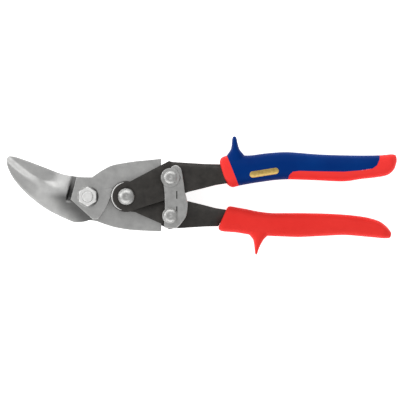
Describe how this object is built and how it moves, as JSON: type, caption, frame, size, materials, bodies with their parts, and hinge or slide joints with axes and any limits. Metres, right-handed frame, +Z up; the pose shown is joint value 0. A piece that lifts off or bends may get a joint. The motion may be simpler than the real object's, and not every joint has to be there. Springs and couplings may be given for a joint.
{
  "type": "aviation snips",
  "caption": "Offset aviation snips with compound leverage: two jaws, two linked handles with moulded grips, a pivoting latch and an opening spring. Cuts sheet metal.",
  "frame": {"origin": "on the blade pivot's axis, at the flat underside of the pivot bolt's head, which lies on the surface", "axes": "+X along the tool from the blade pivot to the handles, +Y towards the upper handle, +Z up along the pivots"},
  "size_m": [0.2404, 0.0727, 0.0222],
  "materials": {
    "jaw_steel": "sand-blasted forged steel, ground at the cutting edges",
    "black_steel": "blackened steel, slightly worn along its edges",
    "fastener_steel": "bright zinc plate",
    "latch_steel": "plain pressed steel",
    "spring_steel": "oiled spring steel",
    "blue_plastic": "satin moulded plastic",
    "red_plastic": "satin soft-touch moulding",
    "gold_foil": "plain satin bar, no mark"
  },
  "bodies": {
    "lower_handle": {"lower_handle": "black_steel", "lower_grip": "red_plastic", "handle_pivot_bolt": "fastener_steel", "handle_pivot_nut": "fastener_steel", "handle_pivot_bush": "spring_steel", "opening_spring": "spring_steel", "lower_link_rivet": "fastener_steel", "lower_link_bush": "latch_steel", "latch_spring_washer": "spring_steel"},
    "upper_handle": {"upper_handle": "black_steel", "upper_grip_core": "blue_plastic", "upper_grip_collar": "red_plastic", "upper_grip_inlay": "red_plastic", "grip_badge": "gold_foil", "upper_link_rivet": "fastener_steel", "upper_link_washer": "latch_steel"},
    "rear_jaw": {"rear_jaw": "jaw_steel", "blade_pivot_bolt": "fastener_steel", "blade_pivot_nut": "fastener_steel", "blade_pivot_washer": "spring_steel", "blade_pivot_back_washer": "spring_steel"},
    "front_jaw": {"front_jaw": "jaw_steel"},
    "latch": {"latch_plate": "latch_steel"}
  },
  "joints": [
    {"name": "handle_pivot", "type": "hinge", "parent": "lower_handle", "child": "upper_handle", "pos_m": [0.0236, 0, 0.0096], "axis": [0, 0, 1], "range_deg": [0, 40], "deforming": ["opening_spring"]},
    {"name": "lower_link", "type": "hinge", "parent": "lower_handle", "child": "rear_jaw", "pos_m": [0.0507, -0.0117, 0.0096], "axis": [0, 0, 1], "range_deg": [0, 10]},
    {"name": "blade_pivot", "type": "hinge", "parent": "rear_jaw", "child": "front_jaw", "pos_m": [0, 0, 0.0096], "axis": [0, 0, 1], "range_deg": [0, 20.5]},
    {"name": "latch_pivot", "type": "hinge", "parent": "lower_handle", "child": "latch", "pos_m": [0.0507, -0.0117, 0.0184], "axis": [0, 0, 1], "range_deg": [-20, 8]}
  ],
  "couplings": [
    {"joint": "lower_link", "follows": "handle_pivot", "ratio": 0.2481},
    {"joint": "blade_pivot", "follows": "handle_pivot", "ratio": 0.5037}
  ]
}
